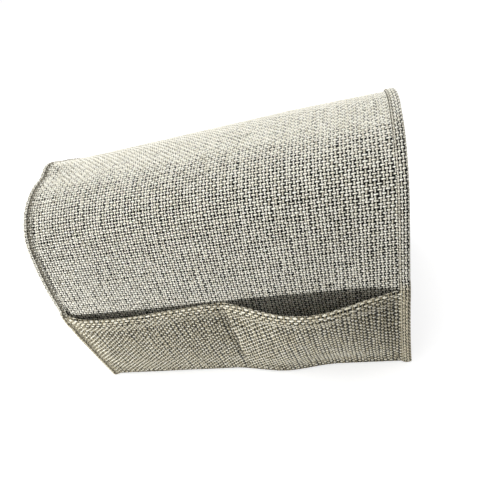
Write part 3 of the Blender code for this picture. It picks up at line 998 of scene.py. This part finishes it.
def lining(side):
    x = np.linspace(-BAY_END_X, BAY_END_X, LINING_COLUMNS)
    girth = np.linspace(0, HEM_GIRTH - HEM_TURN - LINING_HEM_GAP, LINING_ROWS)
    centre = place(side, *np.meshgrid(x, girth), LINING_LIFT)
    centre, signed = ordered(side, centre, side.sign * girth)
    normal = normals_of(centre)
    # The front of this cloth is its underside, which lies on the arm
    front = centre - normal * (LINING_THICKNESS / 2 - LINING_SINK)
    back = centre + normal * (LINING_THICKNESS / 2)
    name = f"{side.name}_lining_cloth"
    cells = x[::-1] / LINING_CELL, signed / LINING_CELL
    mesh = cloth_mesh(name, front[:, ::-1], back[:, ::-1], *cells, LINING_BACK_STEP)
    nodes = f"{side.name}_lining", "top_lining"
    piece = add_piece(name, mesh, lining_material, "lining_cloth", *nodes)
    bend(piece)
    return piece


# Grip dots
DOT_SIDES = 8
DOT_LEVELS = ((0.0013, 0.0), (0.0009, 0.00035))
DOT_START_GIRTH = 0.006
DOT_HEM_ROOM = 0.020
DOT_END_X = 0.158
DOT_PITCH_X = 0.012
DOT_PITCH_GIRTH = 0.0104
DOT_STAGGER = 0.006


def grip_dots(side):
    """Small rubber dots in staggered rows on the lining's underside."""
    verts, faces = [], []
    angles = [2 * math.pi * k / DOT_SIDES for k in range(DOT_SIDES)]
    circle = [(math.cos(angle), math.sin(angle)) for angle in angles]
    underside = LINING_LIFT - LINING_THICKNESS / 2 + LINING_SINK
    girth, odd = DOT_START_GIRTH, False
    while girth < HEM_GIRTH - DOT_HEM_ROOM:
        x = -DOT_END_X + (DOT_STAGGER if odd else 0)
        while x <= DOT_END_X:
            foot = [len(verts) + k for k in range(DOT_SIDES)]
            cap = [k + DOT_SIDES for k in foot]
            for radius, depth in DOT_LEVELS:
                for across, down in circle:
                    at = x + radius * across, girth + radius * down
                    verts.append(tuple(place(side, *at, underside - depth)))
            around = range(-1, DOT_SIDES - 1)
            rings = [(foot[k], foot[k + 1], cap[k + 1], cap[k]) for k in around]
            dot = [*rings, cap, foot[::-1]]
            faces += dot if side.sign < 0 else [face[::-1] for face in dot]
            x += DOT_PITCH_X
        girth += DOT_PITCH_GIRTH
        odd = not odd
    name = f"{side.name}_grip_dots"
    mesh = bpy.data.meshes.new(name)
    mesh.from_pydata(verts, [], faces)
    mesh.shade_smooth()
    piece = add_piece(name, mesh, dot_material, "lining_cloth")
    bend(piece)
    return piece


# Stitches
THREAD_RADIUS = 0.00028
THREAD_SIDES = 6
THREAD_STEPS = (0, 0.12, 0.3, 0.5, 0.7, 0.88, 1)
THREAD_END_SHARE = 0.35
THREAD_ARCH = 1.6
THREAD_SINK = 0.6
STITCH_LENGTH = 0.0032
STITCH_REST = 0.0010
STITCH_END_X = 0.1640
EDGE_ROW_START, EDGE_ROW_HEM_GAP = 0.001, 0.003
DIVIDER_ROW_START, DIVIDER_ROW_HEM_GAP = 0.002, 0.001
EDGE_ROW_POINTS, PANEL_ROW_POINTS, DIVIDER_ROW_POINTS = 200, 240, 80
LOOK_AHEAD = 1e-4
# Mean top of the weave over the middle of the pocket cloth or the tape
WEAVE_TOP = 0.0009


def stitches(name, points, outs, *nodes):
    """Single stitches along points, each sunk at both ends. outs are the ways out of the cloth."""
    steps = np.linalg.norm(np.diff(points, axis=0), axis=1)
    length = np.concatenate([[0], np.cumsum(steps)])
    count = int(length[-1] // (STITCH_LENGTH + STITCH_REST))
    verts, faces = [], []

    def along(values, at):
        return np.array([np.interp(at, length, values[:, axis]) for axis in range(3)])

    for k in range(count):
        start = (k + 0.5) * length[-1] / count - STITCH_LENGTH / 2
        first = len(verts)
        for share in THREAD_STEPS:
            at = start + STITCH_LENGTH * share
            ahead = along(points, at + LOOK_AHEAD) - along(points, at - LOOK_AHEAD)
            ahead /= np.linalg.norm(ahead)
            out = along(outs, at)
            out -= ahead * out.dot(ahead)
            out /= np.linalg.norm(out)
            across = np.cross(ahead, out)
            arch = math.sin(math.pi * share)
            full = THREAD_END_SHARE + (1 - THREAD_END_SHARE) * min(arch * 2, 1)
            radius = THREAD_RADIUS * full
            middle = along(points, at) + out * (THREAD_RADIUS * (THREAD_ARCH * arch - THREAD_SINK))
            for s in range(THREAD_SIDES):
                angle = 2 * math.pi * s / THREAD_SIDES
                way = math.cos(angle) * across + math.sin(angle) * out
                verts.append(tuple(middle + radius * way))
        rings = [
            [first + ring * THREAD_SIDES + s for s in range(THREAD_SIDES)]
            for ring in range(len(THREAD_STEPS))
        ]
        for low, high in zip(rings, rings[1:]):
            for s in range(THREAD_SIDES):
                after = (s + 1) % THREAD_SIDES
                faces.append((low[s], high[s], high[after], low[after]))
        faces += [rings[0], rings[-1][::-1]]
    mesh = bpy.data.meshes.new(name)
    mesh.from_pydata(verts, [], faces)
    mesh.shade_smooth()
    return add_piece(name, mesh, thread_material, "sewing_thread", *nodes)


def outward(side, girth):
    slope = skin(np.asarray(girth, float))[2]
    return np.stack([np.zeros_like(slope), -side.sign * np.sin(slope), np.cos(slope)], -1)


def edge_row(side, end):
    girth = np.linspace(EDGE_ROW_START, HEM_GIRTH - EDGE_ROW_HEM_GAP, EDGE_ROW_POINTS)
    points = place(
        side, end * (TAPE_INNER_X + TAPE_STITCH_INSET), girth, tape_outer_lift(girth) + WEAVE_TOP
    )
    nodes = f"{side.name}_{ENDS[end]}_stitching", f"top_{ENDS[end]}_stitching"
    row = stitches(f"{side.name}_{ENDS[end]}_edge_stitches", points, outward(side, girth), *nodes)
    bend(row)
    return row


def panel_row(side, name, x, girth):
    """A row on the pocket cloth, which stays with the hanging side."""
    points = place(side, x, girth, outer_lift(side, x, girth) + WEAVE_TOP)
    full_name = f"{side.name}_{name}"
    row = stitches(f"{full_name}_stitches", points, outward(side, girth), f"{full_name}_stitching")
    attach(row, side.body)
    return row


def panel_rows(side):
    x = np.linspace(-STITCH_END_X, STITCH_END_X, PANEL_ROW_POINTS)
    start, end = MOUTH_GIRTH + DIVIDER_ROW_START, HEM_STITCH_GIRTH - DIVIDER_ROW_HEM_GAP
    down = np.linspace(start, end, DIVIDER_ROW_POINTS)
    return [
        panel_row(side, "mouth", x, mouth_girth(side, x) + MOUTH_STITCH_DEPTH),
        panel_row(side, "divider", np.full_like(down, DIVIDER_X), down),
        panel_row(side, "hem", x, np.full_like(x, HEM_STITCH_GIRTH)),
    ]


covers = {side: cover(side) for side in SIDES}
pockets = {side: pocket(side) for side in SIDES}
tapes = {(side, end): tape(side, end) for side in SIDES for end in ENDS}
linings = {side: lining(side) for side in SIDES}
dots = {side: grip_dots(side) for side in SIDES}
edge_rows = {(side, end): edge_row(side, end) for side in SIDES for end in ENDS}
face_rows = {side: panel_rows(side) for side in SIDES}

# Camera, fitted to the photograph's outline
IMAGE_SIZE = 480
SENSOR_WIDTH = 36
CAMERA_AZIMUTH = math.radians(19.85)
CAMERA_ELEVATION = math.radians(41.08)
CAMERA_ROLL = math.radians(-20.52)
CAMERA_DISTANCE = 0.46922
CAMERA_TARGET = Vector((0.00637, 0, -0.1241))
CAMERA_FOCAL_PIXELS = 414.13
CAMERA_CLIP_START = 0.01

back_way = Vector(
    (
        math.sin(CAMERA_AZIMUTH) * math.cos(CAMERA_ELEVATION),
        -math.cos(CAMERA_AZIMUTH) * math.cos(CAMERA_ELEVATION),
        math.sin(CAMERA_ELEVATION),
    )
)
camera = bpy.data.objects.new("camera", bpy.data.cameras.new("camera"))
bpy.context.scene.collection.objects.link(camera)
camera.data.sensor_width = SENSOR_WIDTH
camera.data.lens = CAMERA_FOCAL_PIXELS / IMAGE_SIZE * SENSOR_WIDTH
camera.data.clip_start = CAMERA_CLIP_START
camera.location = CAMERA_TARGET + back_way * CAMERA_DISTANCE
facing = (-back_way).to_track_quat("-Z", "Y").to_matrix()
camera.rotation_euler = (facing @ Matrix.Rotation(CAMERA_ROLL, 3, "Z")).to_euler()
bpy.context.scene.camera = camera

# Lamps
Lamp = namedtuple("Lamp", "name location target width height power")
LAMPS = (
    Lamp("key", (-0.30, 0.05, 1.25), (0, 0, -0.05), width=0.9, height=0.9, power=18),
    Lamp("fill", (-0.70, -0.90, -0.165), (0, -0.09, -0.12), width=0.7, height=0.12, power=12.5),
    Lamp("right", (1.10, 0.05, 0.05), (0.10, 0, -0.12), width=0.6, height=0.6, power=3),
    Lamp("back", (0.45, 1.10, 0.10), (0, 0.09, -0.12), width=0.8, height=0.4, power=5),
)

for lamp in LAMPS:
    light = bpy.data.objects.new(lamp.name, bpy.data.lights.new(lamp.name, "AREA"))
    light.data.shape = "RECTANGLE"
    light.data.size = lamp.width
    light.data.size_y = lamp.height
    light.data.energy = lamp.power
    light.location = lamp.location
    way = Vector(lamp.target) - Vector(lamp.location)
    light.rotation_euler = way.to_track_quat("-Z", "Y").to_euler()
    bpy.context.scene.collection.objects.link(light)

# White background and pale floor, which light the object no more than the lamps do
SEEN_WAYS = ("Is Camera Ray", "Is Glossy Ray", "Is Transmission Ray")
WORLD_STRENGTH = 0.15
FLOOR_GAP = 0.001
FLOOR_HALF_SIZE = 4
FLOOR_GREY = 0.55
FLOOR_ROUGHNESS = 0.9
GLOW_STARTS_AT, GLOW_FULL_AT = 0.45, 1.10
NEAR_GLOW, FULL_GLOW = 0.74, 1.0


def seen_directly(tree):
    """1 where the camera, gloss or glass shows a surface, and 0 where it only gives light."""
    paths = tree.nodes.new("ShaderNodeLightPath")
    total = paths.outputs[SEEN_WAYS[0]]
    for way in SEEN_WAYS[1:]:
        both = tree.nodes.new("ShaderNodeMath")
        both.operation = "MAXIMUM"
        tree.links.new(total, both.inputs[0])
        tree.links.new(paths.outputs[way], both.inputs[1])
        total = both.outputs[0]
    return total


world = bpy.data.worlds.new("world")
bpy.context.scene.world = world
world.use_nodes = True
background = world.node_tree.nodes["Background"]
background.inputs["Color"].default_value = (1, 1, 1, 1)
strength = world.node_tree.nodes.new("ShaderNodeMapRange")
world.node_tree.links.new(seen_directly(world.node_tree), strength.inputs[0])
strength.inputs["To Min"].default_value = WORLD_STRENGTH
strength.inputs["To Max"].default_value = 1.0
world.node_tree.links.new(strength.outputs[0], background.inputs["Strength"])

floor_z = CAD_LOW.z - FLOOR_GAP
floor_mesh = bpy.data.meshes.new("floor")
floor_corners = [
    (x * FLOOR_HALF_SIZE, y * FLOOR_HALF_SIZE, floor_z)
    for x, y in ((-1, -1), (1, -1), (1, 1), (-1, 1))
]
floor_mesh.from_pydata(floor_corners, [], [(0, 1, 2, 3)])
floor = bpy.data.objects.new("floor", floor_mesh)
bpy.context.scene.collection.objects.link(floor)
floor_look = Nodes("floor")
reach = floor_look.tree.nodes.new("ShaderNodeVectorMath")
reach.operation = "LENGTH"
floor_look.put(reach.inputs[0], floor_look.position())
glow_range = GLOW_STARTS_AT, GLOW_FULL_AT, NEAR_GLOW, FULL_GLOW
glow = floor_look.step(reach.outputs["Value"], *glow_range)
floor_look.give(
    Base_Color=(FLOOR_GREY, FLOOR_GREY, FLOOR_GREY, 1),
    Roughness=FLOOR_ROUGHNESS,
    Specular_IOR_Level=0,
    Emission_Color=(1, 1, 1, 1),
    Emission_Strength=floor_look.mul(seen_directly(floor_look.tree), glow),
)
floor.data.materials.append(floor_look.material)

bpy.context.scene.view_settings.view_transform = "Standard"
